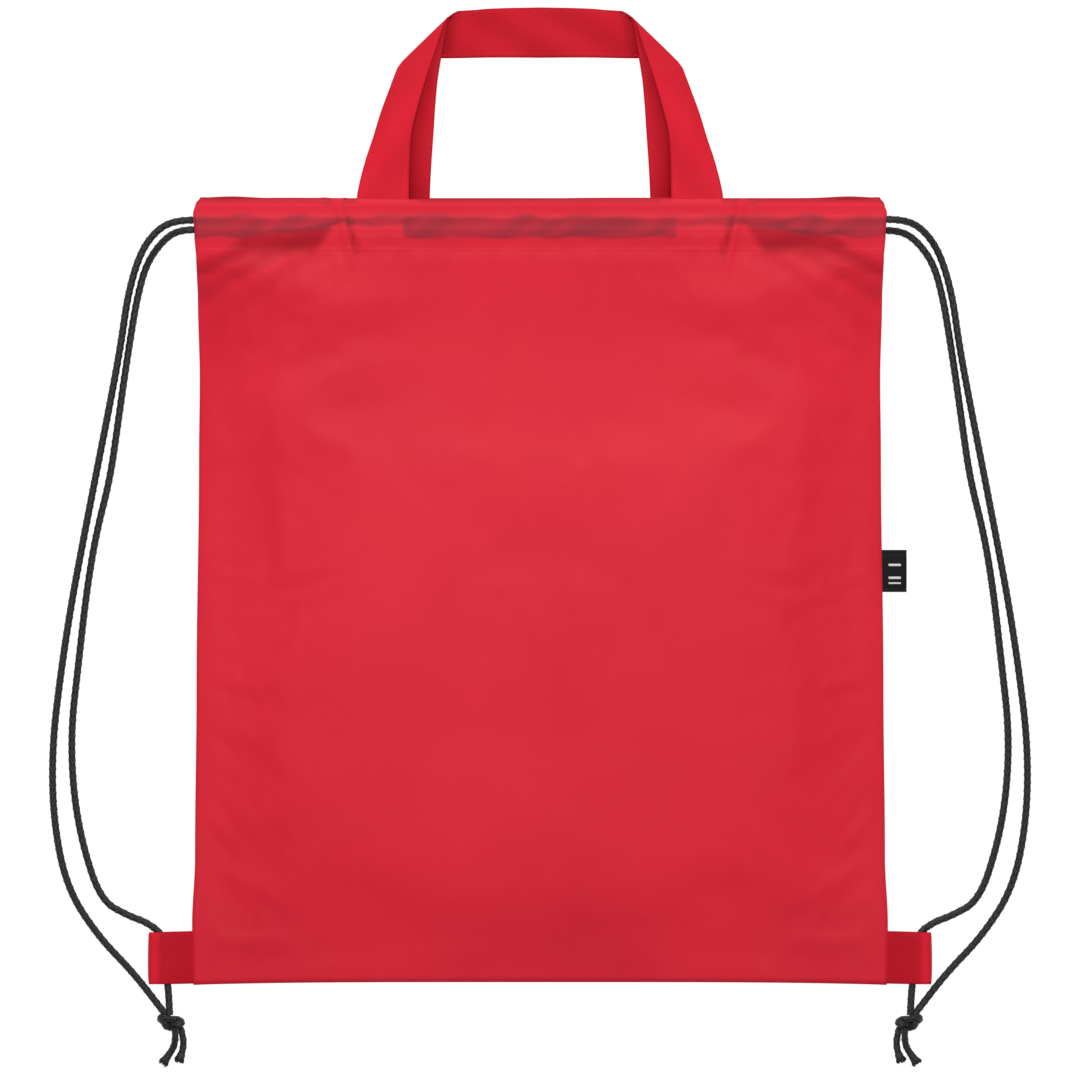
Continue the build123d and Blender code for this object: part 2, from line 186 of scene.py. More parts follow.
def set_attribute(obj, name, values):
    attribute = obj.data.attributes.new(name, "FLOAT", "POINT")
    attribute.data.foreach_set("value", np.asarray(values, np.float32).ravel())


def dress(obj, material, body, slot, *nodes):
    """Gives a piece its material and body, and hides the CAD nodes that it stands for. The slot is not used.
    """
    obj.data.materials.clear()
    obj.data.materials.append(material)
    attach(obj, body)
    if nodes:
        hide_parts(*nodes)
    return obj


# ---- materials ----
def linear(hex_colour):
    """An sRGB hex colour as linear RGBA."""
    channels = [int(hex_colour[i:i + 2], 16) / 255 for i in (0, 2, 4)]
    return tuple(c / 12.92 if c <= 0.04045 else ((c + 0.055) / 1.055) ** 2.4 for c in channels) + (1.0,)


def add(tree, kind, inputs=None, **settings):
    """Adds a node with its settings, its values and its links."""
    node = tree.nodes.new(kind)
    for key, value in settings.items():
        setattr(node, key, value)
    for key, value in (inputs or {}).items():
        if isinstance(value, bpy.types.NodeSocket):
            tree.links.new(value, node.inputs[key])
        else:
            node.inputs[key].default_value = value
    return node


def new_material(name):
    material = bpy.data.materials.new(name)
    material.use_nodes = True
    material.node_tree.nodes.clear()
    return material, material.node_tree


def finish_material(tree, colour, **inputs):
    """The shader and its output. Inputs are constants or sockets, with _ for each space in a name."""
    named = {name.replace("_", " "): value for name, value in inputs.items()}
    shader = add(tree, "ShaderNodeBsdfPrincipled", {"Base Color": colour, **named})
    add(tree, "ShaderNodeOutputMaterial", {"Surface": shader.outputs[0]})


def wave(tree, space, scale, distortion, direction):
    place = add(tree, "ShaderNodeTexCoord")
    inputs = {"Vector": place.outputs[space], "Scale": scale, "Distortion": distortion}
    return add(tree, "ShaderNodeTexWave", inputs, bands_direction=direction).outputs["Fac"]


def noise(tree, scale, detail, roughness=0.5):
    place = add(tree, "ShaderNodeTexCoord")
    inputs = {"Vector": place.outputs["Object"], "Scale": scale, "Detail": detail, "Roughness": roughness}
    return add(tree, "ShaderNodeTexNoise", inputs).outputs["Fac"]


def attribute(tree, name):
    return add(tree, "ShaderNodeAttribute", attribute_name=name).outputs["Fac"]


def product(tree, first, second):
    return add(tree, "ShaderNodeMath", {0: first, 1: second}, operation="MULTIPLY").outputs[0]


def mapped(tree, value, low, high, start=0.0, end=1.0):
    """A value between start and end as one between low and high."""
    inputs = {"Value": value, "From Min": start, "From Max": end, "To Min": low, "To Max": high}
    return add(tree, "ShaderNodeMapRange", inputs).outputs[0]


def mixed(tree, share, first, second):
    """A colour between two, each of them a hex colour or a socket."""
    first, second = (linear(c) if isinstance(c, str) else c for c in (first, second))
    return add(tree, "ShaderNodeMix", {0: share, 6: first, 7: second}, data_type="RGBA").outputs[2]


def bump(tree, height, strength, distance):
    inputs = {"Height": height, "Strength": strength, "Distance": distance}
    return add(tree, "ShaderNodeBump", inputs).outputs[0]


THREAD_PITCH = 0.62          # drawn about four times as coarse as the real one, so that it shows
WEAVE_SCALE = 2 * pi / 20 / (THREAD_PITCH * MM)


def taffeta(name, colour, deep, folded, show_through_and_shade, gloss):
    """Thin polyester taffeta, woven plain and calendered: a tight fine weave, a soft, slightly silky sheen.
    The red goes greyish where dark cords lie under it. A painted shade deepens the red along folds, creases
    and hollows, inside the bag and towards the bottom, and a painted shade darkens the foot of the cords'
    band."""
    material, tree = new_material(name)
    threads = product(tree, *(wave(tree, "UV", WEAVE_SCALE, 0.6, direction) for direction in "XY"))
    slubs = noise(tree, 900.0, 3.0)
    clouds = mapped(tree, noise(tree, 9.0, 4.0, 0.55), 0.0, 0.35, 0.35, 0.65)
    woven = mixed(tree, product(tree, threads, 0.10), mixed(tree, clouds, colour, deep), deep)
    # painted shade: a deeper red where the fold attribute marks folds, creases and hollows
    fold_shaded = mixed(tree, attribute(tree, "fold"), woven, folded)
    # greyish where the cords show through the thin cloth, plus a painted shade along the band's foot
    tone = mixed(tree, attribute(tree, "shade"), fold_shaded, show_through_and_shade)
    height = add(tree, "ShaderNodeMath", {0: slubs, 1: 0.35, 2: threads}, operation="MULTIPLY_ADD").outputs[0]
    finish_material(tree, tone, Normal=bump(tree, height, 0.35, 0.00012),
                    Roughness=mapped(tree, slubs, 0.44, 0.60), Sheen_Weight=0.05, Sheen_Roughness=0.4,
                    Sheen_Tint=linear("FF9AA0"), Specular_IOR_Level=gloss)
    return material


def sewing_thread():
    """Spun polyester sewing thread: matt, twisted, a little deeper than the cloth."""
    material, tree = new_material("spun_polyester_thread")
    ply = wave(tree, "Object", 700.0, 1.0, "DIAGONAL")
    finish_material(tree, mixed(tree, ply, "CC1C30", "E02A3E"), Normal=bump(tree, ply, 0.4, 0.0001),
                    Roughness=0.7, Specular_IOR_Level=0.25)
    return material


def braided_polyester():
    """Braided filament polyester: black, with a painted sheen on each raised strand and painted shade in the
    near-black gaps.
    """
    material, tree = new_material("black_braided_polyester")
    fibres = noise(tree, 2600.0, 2.0)
    # painted shade: the braid's gaps near black, the raised strands lighter as a painted sheen
    tone = mixed(tree, product(tree, attribute(tree, "raised"), fibres), "020202", "3A3A3D")
    finish_material(tree, tone, Normal=bump(tree, fibres, 0.5, 0.0001),
                    Roughness=mapped(tree, fibres, 0.38, 0.62), Specular_IOR_Level=0.35)
    return material


def fused_polyester():
    """Heat-cut cord end: polyester melted into a dark, slightly glossy lumpy rim."""
    material, tree = new_material("fused_black_polyester")
    lumps = noise(tree, 1400.0, 3.0)
    finish_material(tree, mixed(tree, lumps, "050506", "1C1B1E"), Normal=bump(tree, lumps, 0.7, 0.0003),
                    Roughness=0.5, Specular_IOR_Level=0.3)
    return material


def label_satin():
    """Woven black satin label: long silky floats with plain pale woven bars, and no wording."""
    material, tree = new_material("woven_black_satin")
    floats = wave(tree, "UV", 700.0, 1.5, "Y")
    tone = mixed(tree, attribute(tree, "mark"), mixed(tree, floats, "040406", "111114"), "D9D7D4")
    finish_material(tree, tone, Normal=bump(tree, floats, 0.3, 0.0001), Roughness=0.45,
                    Specular_IOR_Level=0.14)
    return material


def floor_paper():
    """Matt white backdrop paper."""
    material, tree = new_material("matt_white_paper")
    finish_material(tree, linear("5A5A5A"), Roughness=0.9, Emission_Color=(1.0, 1.0, 1.0, 1.0),
                    Emission_Strength=0.95)
    return material


CLOTH_RED = taffeta("red_polyester_taffeta", "DC2236", "C7152D", "A80A1F", "58222C", 0.17)
STRAP_RED = taffeta("red_folded_taffeta_strap", "DE2135", "C4122A", "9C0A18", "701424", 0.06)
THREAD_RED = sewing_thread()
CORD_BLACK = braided_polyester()
END_BLACK = fused_polyester()
LABEL_BLACK = label_satin()

# ---- camera ----
LENS = 400.0
SENSOR = 36.0
FRAME_WIDTH = 563.2          # width of the view at the height of the bag
VIEW_Y = -22.7
VIEW_HEIGHT = FRAME_WIDTH / SENSOR * LENS + 4.0

camera_data = bpy.data.cameras.new("camera")
camera_data.lens = LENS
camera_data.sensor_width = SENSOR
camera_data.clip_end = 20.0
camera = link(bpy.data.objects.new("camera", camera_data))
camera.location = (0.0, VIEW_Y * MM, VIEW_HEIGHT * MM)
bpy.context.scene.camera = camera


# ---- cords ----
OUTER_ROUTE = [
    (180.0, 144.15), (189.5, 144.15), (199.5, 139.5), (208.5, 127.5), (215.0, 105.5), (218.5, 80.0),
    (224.0, 50.0), (231.5, 12.0), (238.5, -24.0), (244.5, -56.0), (250.0, -92.0), (254.5, -130.0),
    (254.0, -168.0), (247.0, -204.0), (230.5, -229.5), (212.0, -248.5), (196.8, -268.3),
]
INNER_ROUTE = [
    (180.0, 138.75), (188.0, 138.75), (197.0, 133.0), (205.5, 121.0), (210.0, 104.0), (212.8, 88.0),
    (216.8, 62.0), (220.3, 37.0), (224.3, 9.0), (231.7, -20.0), (236.7, -51.0), (240.6, -86.0),
    (244.6, -121.0), (243.6, -153.0), (238.6, -182.0), (229.0, -211.0), (214.0, -219.0),
    (206.5, -221.6), (201.0, -225.2),
]
TAB_ROUTE = [
    (200.3, -225.7, 2.9), (198.0, -228.0, 3.2), (197.0, -232.5, 3.3), (195.9, -242.0, 3.3),
    (194.3, -253.0, 3.3), (193.5, -261.5, 3.8), (193.1, -270.5, 4.3),
]
KNOT_ENTRY = (194.0, -271.6, 3.4)
LONG_TAIL = [
    (190.2, -277.0, 6.5), (190.0, -282.0, 5.6), (190.9, -287.0, 3.4), (193.8, -291.5, 2.9),
    (196.0, -294.6, 2.85),
]
SHORT_TAIL = [
    (187.6, -277.0, 2.4), (186.2, -281.5, 2.3), (185.9, -286.5, 2.6), (187.0, -291.0, 2.85),
    (188.0, -293.4, 2.85),
]
REST = 2.05                  # height of a cord's middle where it lies on the surface
FRONT_LANE_Z = (FRONT_BASE + FRONT_TOP) / 2
BACK_LANE_Z = BACK_TOP / 2
FROM_FRONT = (FRONT_LANE_Z, FRONT_LANE_Z, 8.0)
FROM_BACK = (BACK_LANE_Z, BACK_LANE_Z, 2.3)
BRAID_CARRIERS = 6           # strands each way round the cord
BRAID_STEP = 2.1             # length of cord that one crossing takes
BRAID_RELIEF = 0.55
RING_STEP = 0.36             # length of cord from one ring of points to the next
RING_POINTS = 28
KNOT_CORD = 2.05             # radius of the cord in the knot
TAIL_CORD = 1.9              # radius of a tail
FRAYED_FIBRES = 14


def spline_line(points):
    """The smooth line of a route: a NURBS spline with the route's points as its control points."""
    curve = bpy.data.curves.new("route", "CURVE")
    curve.dimensions = "3D"
    spline = curve.splines.new("NURBS")
    spline.points.add(len(points) - 1)
    for point, place in zip(spline.points, points):
        point.co = (place[0] * MM, place[1] * MM, place[2] * MM, 1.0)
    spline.order_u = 3
    spline.use_endpoint_u = True
    spline.resolution_u = 48
    route = link(bpy.data.objects.new("route", curve))
    mesh = mesh_of(route)
    line = np.array([v.co for v in mesh.vertices]) / MM
    bpy.data.objects.remove(route)
    bpy.data.curves.remove(curve)
    bpy.data.meshes.remove(mesh)
    return line


def evenly(line, step):
    """The same line with its points evenly spaced, and the distance along it to each."""
    lengths = np.concatenate([[0], np.cumsum(np.linalg.norm(np.diff(line, axis=0), axis=1))])
    along = np.linspace(0, lengths[-1], max(2, round(lengths[-1] / step) + 1))
    return np.stack([np.interp(along, lengths, line[:, k]) for k in range(3)], axis=1), along


def frames_along(line):
    """Two directions across the line at each point, turned as little as possible from one to the next."""
    tangents = np.gradient(line, axis=0)
    tangents /= np.linalg.norm(tangents, axis=1)[:, None]
    across = np.cross(tangents[0], (0.0, 0.0, 1.0))
    if np.linalg.norm(across) < 0.1:
        across = np.cross(tangents[0], (1.0, 0.0, 0.0))
    firsts = []
    for tangent in tangents:
        across = across - tangent * across.dot(tangent)
        across /= np.linalg.norm(across)
        firsts.append(across)
    firsts = np.array(firsts)
    return firsts, np.cross(tangents, firsts)


def braid_height(angle, along):
    """Relief of a plain braid, 0 in the gaps and 1 on top of a strand."""
    a = BRAID_CARRIERS * angle / (2 * pi) + along / BRAID_STEP / 2
    b = BRAID_CARRIERS * angle / (2 * pi) - along / BRAID_STEP / 2
    over = (np.floor(a) + np.floor(b)) % 2 == 0
    fa, fb = np.sin(pi * (a % 1)), np.sin(pi * (b % 1))
    return np.where(over, fa ** 0.6 * (0.45 + 0.55 * fb), fb ** 0.6 * (0.45 + 0.55 * fa))


def tube(name, line, radius, ring_points=RING_POINTS, step=RING_STEP, relief=BRAID_RELIEF):
    """A braided tube round a line. radius is a number, or a function of the share of the length."""
    line, along = evenly(line, step)
    across, up = frames_along(line)
    angle = np.linspace(0, 2 * pi, ring_points, endpoint=False)
    height = braid_height(angle[None, :], along[:, None])
    share = along / along[-1]
    outer = radius(share) if callable(radius) else np.full(len(along), radius)
    r = outer[:, None] - relief * (1 - height)
    points = (line[:, None] + across[:, None] * (r * np.cos(angle))[..., None]
              + up[:, None] * (r * np.sin(angle))[..., None])
    uv = np.stack(np.broadcast_arrays(along[:, None], angle[None, :] * CORD / 2), axis=2)
    obj = grid_mesh(name, points, uv, closed=True, capped=True)
    set_attribute(obj, "raised", height)
    return obj


def mirrored(points, side):
    return [(side * x, y, z) for x, y, z in points]


def with_heights(plan, start):
    heights = list(start) + [REST] * (len(plan) - len(start))
    return [(x, y, z) for (x, y), z in zip(plan, heights)]


KNOT_LOW, KNOT_HIGH = corners("right_knot")
KNOT_MIDDLE = (KNOT_LOW + KNOT_HIGH) / 2
KNOT_LEAN = radians(12)


def knot_line():
    """One overhand turn pulled tight: a trefoil flattened to the knot's width."""
    turn = np.linspace(0, 2 * pi, 160)
    reach = (KNOT_HIGH.x - KNOT_LOW.x) / 2 - 1.85
    depth = (KNOT_HIGH.y - KNOT_LOW.y) / 2 - 1.7
    x = (np.sin(turn) + 2 * np.sin(2 * turn)) / 2.75 * reach
    y = (np.cos(turn) - 2 * np.cos(2 * turn)) / 2.9 * depth
    z = -np.sin(3 * turn) * 1.9
    c, s = cos(KNOT_LEAN), sin(KNOT_LEAN)
    line = np.stack([x * c - y * s, x * s + y * c, z], axis=1)
    return line + np.array(KNOT_MIDDLE) + (0, 0, 0.2)


def frayed_end(name, line, seed):
    """The melted rim of a tail and the few fibres that stand out of it."""
    generator = np.random.default_rng(seed)
    end = line[-1]
    way = line[-1] - line[-6]
    way /= np.linalg.norm(way)
    across = np.cross(way, (0, 0, 1))
    across /= np.linalg.norm(across)
    up = np.cross(across, way)
    profile = [(-1.2, 2.0), (-0.4, 2.45), (0.5, 2.7), (1.2, 2.55), (1.5, 1.9), (1.2, 1.0), (0.9, 0.2)]
    forward, radius = np.array(profile).T[..., None, None]
    angle = np.linspace(0, 2 * pi, 24, endpoint=False)[:, None]
    push = forward + 0.35 * np.sin(5 * angle + seed)
    r = radius * (1 + 0.10 * np.sin(3 * angle + seed) + 0.06 * np.sin(7 * angle + 2 * seed))
    points = end + way * push + across * (r * np.cos(angle)) + up * (r * np.sin(angle) * 0.8)
    rim = grid_mesh(name, points, flat_lengths(points), closed=True, capped=True)
    fibres = [rim]
    for i in range(FRAYED_FIBRES):
        a, lean = generator.uniform(0, 2 * pi), generator.uniform(0.15, 0.6)
        length, bend = generator.uniform(0.9, 1.9), generator.uniform(-0.5, 0.5)
        side_way = across * cos(a) + up * sin(a) * 0.7
        start = end + side_way * generator.uniform(0.8, 2.2) + way * 0.5
        t = np.linspace(0, 1, 5)[:, None]
        path = start + way * t * length + side_way * (lean * length * t ** 2) + across * (bend * t ** 2)
        path[:, 2] = np.maximum(path[:, 2], 0.25)
        fibres.append(tube(f"{name}_fibre_{i}", path, lambda share: 0.3 - 0.14 * share,
                           ring_points=5, step=0.6, relief=0.0))
    return joined(fibres, name)


def tail_radius(share):
    """A tail widens a little towards its cut end."""
    return TAIL_CORD + 0.5 * ease((share - 0.7) / 0.3)


def joined(objects, name):
    """Several meshes as one piece."""
    with bpy.context.temp_override(active_object=objects[0], selected_editable_objects=objects,
                                   selected_objects=objects):
        bpy.ops.object.join()
    objects[0].name = name
    return objects[0]


def cords(side, word):
    tab = f"{word}_tab"
    outer_start, inner_start = (FROM_FRONT, FROM_BACK) if side > 0 else (FROM_BACK, FROM_FRONT)
    outer_points = mirrored(with_heights(OUTER_ROUTE, outer_start) + [KNOT_ENTRY], side)
    inner_points = mirrored(with_heights(INNER_ROUTE, inner_start) + TAB_ROUTE, side)

    outer_line, inner_line = spline_line(outer_points), spline_line(inner_points)
    outer = tube(f"{word}_outer_cord", outer_line, CORD / 2)
    inner = tube(f"{word}_inner_cord", inner_line, CORD / 2)
    knot_path = knot_line()
    knot_path[:, 0] *= side
    knot = tube(f"{word}_overhand_knot", knot_path, KNOT_CORD, step=0.3)
    tails = []
    for kind, route, seed in (("long", LONG_TAIL, 5), ("short", SHORT_TAIL, 11)):
        line = spline_line(mirrored(route, side))
        body = tube(f"{word}_{kind}_cord_tail", line, tail_radius)
        tip = frayed_end(f"{word}_{kind}_fused_end", evenly(line, RING_STEP)[0], seed + side)
        dress(body, CORD_BLACK, tab, "black_cord", f"{word}_{kind}_tail")
        dress(tip, END_BLACK, tab, "black_cord")
        tails += [body, tip]

    dress(knot, CORD_BLACK, tab, "black_cord", f"{word}_knot")
    for piece, nodes in ((outer, [f"{word}_cord_outer_strand"]),
                         (inner, [f"{word}_cord_inner_strand", f"{word}_cord_tab_run"])):
        piece.data.materials.append(CORD_BLACK)
        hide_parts(*nodes)
    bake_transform(outer)
    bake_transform(inner)


def channel_cord(side, word):
    """The stretch of cord inside the two channels, with the turn at the far side."""
    lanes = (MOUTH - UPPER_LANE, MOUTH - LOWER_LANE)
    front_y, back_y = lanes if side > 0 else lanes[::-1]
    turn = HALF - 9.0
    far = HALF - 2.2
    middle_y, middle_z = (front_y + back_y) / 2, (FRONT_LANE_Z + BACK_LANE_Z) / 2
    front = [(x, front_y, FRONT_LANE_Z) for x in (HALF, 60.0, -60.0, -turn, -far)]
    back = [(x, back_y, BACK_LANE_Z) for x in (-far, -turn, -60.0, 60.0, HALF)]
    line = spline_line(mirrored(front + [(-far, middle_y, middle_z)] + back, side))
    cord = tube(f"{word}_channel_cord", line, CORD / 2, ring_points=16, step=0.8)
    dress(cord, CORD_BLACK, "bag", "black_cord", f"{word}_cord_channel_run")


for side, word in SIDES:
    cords(side, word)
    channel_cord(side, word)


# ---- stitches ----
STITCH_SIZES = {"Stitch Pitch": 3.3, "Stitch Length": 2.7, "Thread Width": THREAD}


def stitch_tree(material):
    """Geometry nodes: one stitch at each step along a line, lying along it."""
    tree = bpy.data.node_groups.new("stitch_row", "GeometryNodeTree")
    tree.interface.new_socket("Geometry", in_out="INPUT", socket_type="NodeSocketGeometry")
    for name, size in STITCH_SIZES.items():
        socket = tree.interface.new_socket(name, in_out="INPUT", socket_type="NodeSocketFloat")
        socket.default_value = size * MM
    tree.interface.new_socket("Geometry", in_out="OUTPUT", socket_type="NodeSocketGeometry")
    given = add(tree, "NodeGroupInput")
    steps = add(tree, "GeometryNodeCurveToPoints", {"Curve": given.outputs["Geometry"],
                                                    "Length": given.outputs["Stitch Pitch"]}, mode="LENGTH")
    bead = add(tree, "GeometryNodeMeshUVSphere", {"Segments": 6, "Rings": 5, "Radius": 0.5})
    width = given.outputs["Thread Width"]
    shape = add(tree, "ShaderNodeCombineXYZ", {"X": width, "Y": width, "Z": given.outputs["Stitch Length"]})
    sized = add(tree, "GeometryNodeTransform", {"Geometry": bead.outputs["Mesh"], "Scale": shape.outputs[0]})
    placed = add(tree, "GeometryNodeInstanceOnPoints", {"Points": steps.outputs["Points"],
                                                        "Instance": sized.outputs[0],
                                                        "Rotation": steps.outputs["Rotation"]})
    real = add(tree, "GeometryNodeRealizeInstances", {"Geometry": placed.outputs[0]})
    coated = add(tree, "GeometryNodeSetMaterial", {"Geometry": real.outputs[0], "Material": material})
    add(tree, "NodeGroupOutput", {"Geometry": coated.outputs[0]})
    return tree


STITCHES = stitch_tree(THREAD_RED)


def stitches(name, lines, thread=THREAD):
    """Rows of stitches along lines of points in millimetres, as one plain mesh."""
    curve = bpy.data.curves.new(name, "CURVE")
    curve.dimensions = "3D"
    for line in lines:
        spline = curve.splines.new("POLY")
        spline.points.add(len(line) - 1)
        spline.points.foreach_set("co", np.hstack([line * MM, np.ones((len(line), 1))]).ravel())
    rows = link(bpy.data.objects.new(name + "_line", curve))
    modifier = rows.modifiers.new("stitches", "NODES")
    modifier.node_group = STITCHES
    sizes = {**STITCH_SIZES, "Thread Width": thread}
    for item in STITCHES.interface.items_tree:
        if item.in_out == "INPUT" and item.name in sizes:
            modifier[item.identifier] = sizes[item.name] * MM
    mesh = mesh_of(rows)
    mesh.name = name
    bpy.data.objects.remove(rows)
    bpy.data.curves.remove(curve)
    smooth(mesh)
    mesh.materials.clear()
    mesh.materials.append(THREAD_RED)
    return link(bpy.data.objects.new(name, mesh))


# ---- cloth body ----
PANEL_ROWS = 120
HEM_ROWS = 40
FACING_ROWS = 28
COLUMNS = 181
EDGE_LINE = eased_line([
    (-254.8, 180.8), (-223.0, 181.4), (-188.0, 179.9), (-100.0, 179.1), (20.0, 177.8), (61.0, 177.4),
    (102.0, 178.3), (127.0, 178.9), (136.0, 179.6), (147.3, 180.3), (152.3, 179.0), (155.3, 176.9),
])
SEAM_LINE = eased_line([(-254.8, 2.1), (-226.0, 2.1), (-205.0, 1.5), (60.0, 1.5), (112.0, 4.0), (127.3, 5.0)])
CROWN_LINE = eased_line([(-254.8, 7.0), (-190.0, 9.0), (-60.0, 12.0), (60.0, 13.4), (127.3, 17.7)])
# heights of the hems' layers, by distance below the mouth
FRONT_HEM_LINE = eased_line([
    (-1.0, 15.3), (0.0, 15.3), (10.4, 19.35), (13.8, 19.2),
    (16.5, 19.3), (18.6, 19.1), (26.6, 17.75), (28.0, 17.7),
])
FRONT_FACING_LINE = eased_line([
    (-1.0, 15.1), (0.0, 15.1), (5.4, 16.1), (9.2, 14.65), (18.6, 14.65), (26.6, 16.9), (30.0, 16.8),
])
BACK_SKIN_LINE = eased_line([(-2.0, 3.2), (0.0, 3.2), (4.6, 2.9), (9.5, 0.3), (28.0, 0.3)])
BACK_FACING_LINE = eased_line([
    (-2.0, 3.9), (0.0, 3.9), (5.0, 3.8), (9.3, 5.6), (18.4, 5.6), (26.8, 0.95), (30.0, 0.9),
])
SIDE_RUN = 78.0              # width over which the front rises from the side seam
BOTTOM_RUN = 70.0
CORNER_RUN = 30.0            # length over which the side opens into the hem
STRAP_SPAN = (68.3, 95.3)    # the sewn ends of the front handle, from the middle
PUCKER = 102.6               # the gathered fold beside each sewn end, from the middle
INNER_PUCKER = 65.5
# soft folds from the lower stitches to the side seam: where they start and end, half width, dip and the
# strength of their painted shade
STREAKS = ((157.0, 115.0, 9.0, 1.5, 0.7), (138.0, 102.0, 8.0, 0.8, 0.34), (112.0, 82.0, 9.0, 0.5, 0.15))


def cloth_grid(mouth_line):
    """Rows of (x, y) from the bottom fold to the mouth and back down the facing."""
    panel = np.linspace(BOTTOM, LOWER_STITCH, PANEL_ROWS)
    hem = np.linspace(LOWER_STITCH, MOUTH, HEM_ROWS)[1:]
    facing = np.linspace(MOUTH, LOWER_STITCH - 0.4, FACING_ROWS)
    levels = np.concatenate([panel, hem, facing])
    share = np.linspace(-1, 1, COLUMNS)
    share = np.sign(share) * np.abs(share) ** 0.94        # columns a little closer by the seams
    x = share[None, :] * EDGE_LINE(levels)[:, None]
    y = np.repeat(levels[:, None], COLUMNS, axis=1)
    in_hem = np.clip((y - LOWER_STITCH) / HEM_DEPTH, 0, 1)
    y = y + in_hem * (mouth_line(x) - MOUTH)
    y = y + 1.4 * (1 - (x / HALF) ** 4) * ease((BOTTOM + 60 - y) / 60)
    return x, y, len(panel) + len(hem)


def turned_edges(x, y, z, way):
    """Adds the cloth's turned-in edge along both sides, on the inner side of the layer."""
    def column(k, out, down):
        return np.stack([x[:, k] + np.sign(x[:, k]) * out, y[:, k], z[:, k] - way * down], axis=1)[:, None]

    left = [column(0, -3.0, 0.65), column(0, 0.12, 0.3)]
    right = [column(-1, 0.12, 0.3), column(-1, -3.0, 0.65)]
    return np.concatenate([*left, np.stack([x, y, z], axis=2), *right], axis=1)


def front_panel_height(x, y):
    """The front cloth between the bottom fold and the lower stitches, a shallow pillow."""
    edge = SEAM_LINE(y)
    opening = ease((y - (LOWER_STITCH - CORNER_RUN)) / CORNER_RUN)
    edge = edge + (FRONT_HEM_LINE(HEM_DEPTH) - edge) * opening
    inward = EDGE_LINE(y) - np.abs(x)
    run = SIDE_RUN - 45.0 * ease((y - 70) / 50)
    rise = dome(inward / run) * (0.25 + 0.75 * dome((y - BOTTOM) / BOTTOM_RUN)) * dome((y - BOTTOM) / 26.0)
    return edge * dome((y - BOTTOM + 12.0) / 14.0) + (CROWN_LINE(y) - edge) * rise


def ripple(x, seed):
    """An uneven wave along a row of stitches."""
    return (np.sin(x / 2.1 + 2.0 * np.sin(x / 17.0 + seed)) + 0.7 * np.sin(x / 3.4 + 1.3 * seed)
            + 0.5 * np.sin(x / 7.9 + seed)) / 2.2


def front_details(x, y):
    """Small folds of the front cloth that the sewing makes."""
    below = LOWER_STITCH - y
    depth = MOUTH - y
    under_stitch = 0.4 * (below / 6.0) * np.exp(1 - np.maximum(below, 0) / 6.0)
    z = np.where(below > 0, under_stitch * ripple(x, 0.4), 0.0)
    in_hem = (depth > 0) & (below <= 0)
    near_stitch = np.sin(pi * np.clip((HEM_DEPTH - depth) / 9.0, 0, 1))
    z += np.where(in_hem, 0.3 * near_stitch * ripple(x, 1.7), 0.0)
    ridge = np.sin(pi * np.clip((depth - LIP) / (HEM_DEPTH - LIP), 0, 1))
    z += np.where(in_hem, 0.16 * ridge * np.sin(x / 11.0 + np.sin(x / 23.0)), 0.0)
    reach = np.abs(x)
    pucker = np.where(in_hem, ease(depth / 3.0), np.exp(-np.maximum(below, 0) / 7.0))
    slant = PUCKER - 0.25 * (depth - 12)
    z += pucker * (1.1 * bell(reach, slant, 2.0) + 0.45 * bell(reach, INNER_PUCKER, 1.8))
    off_cords = 1 - ease((depth - 6) / 2) * ease((21 - depth) / 2)
    z -= pucker * off_cords * (0.7 * bell(reach, slant - 3.4, 1.3) + 0.4 * bell(reach, slant + 5.0, 2.6))
    end = ease((reach - STRAP_SPAN[0]) / 1.2) * ease((STRAP_SPAN[1] - reach) / 1.2)
    z += np.where(in_hem, 0.2 * end, 0.0)
    for start, finish, width, dip, _ in STREAKS:
        streak, across = on_streak(reach, below, start, finish)
        z -= dip * streak * (bell(across, 0.0, width) - 0.5 * bell(across, -1.8 * width, width))
    return z


def on_streak(reach, below, start, finish):
    """How strongly a point lies along a streak's length, and how far it is to the side of it."""
    share = below / (LOWER_STITCH - finish)
    return ease((below + 0.5) / 3.0) * ease((1.2 - share) / 0.35), reach - (start + (180.0 - start) * share)


def band_foot(reach):
    """Depth below the mouth of the lower limit of the stretch where the cords show through."""
    rising = 20.4 - 7.5 * np.clip((164 - reach) / 62, 0, 1) ** 1.5
    return np.where(reach > 101.0, rising, np.where(reach > 71.0, 14.4, 20.6))


def show_through_and_shade(x, y):
    """How strongly the dark cords show through the front hem's cloth, with a painted shade along the foot of
    that band, where the cloth slopes down away from the light.
    """
    depth = MOUTH - y
    reach = np.abs(x)
    wander = 0.8 * np.sin(x / 8.3 + 1.7 * np.sin(x / 21.0)) + 0.6 * np.sin(x / 3.9)
    foot = band_foot(reach) + 0.5 * np.sin(x / 5.1 + np.sin(x / 13.0))
    band = ease((depth - 8.0 - wander) / 3.4) * ease((foot + 1.2 - depth) / 2.6)
    mottle = 0.78 + 0.14 * np.sin(x / 4.3 + 2 * np.sin(x / 11.0) + depth / 2.4) + 0.08 * np.sin(x / 17.0)
    doubled = ease((reach - STRAP_SPAN[0] - 2.5) / 1.2) * ease((STRAP_SPAN[1] + 2 - reach) / 2.0)
    shade = (0.62 - 0.22 * doubled) * band * mottle
    # painted shade along the band's foot, where the cloth slopes down below the lower cord
    shade += 0.16 * bell(depth, foot - 0.7, 1.1) * (1 - 0.6 * doubled)
    lip = 0.10 * ease((depth - 4.4) / 0.6) * ease((6.0 - depth) / 0.6)
    return np.where((depth >= 0) & (depth <= HEM_DEPTH), shade + lip, 0.0)


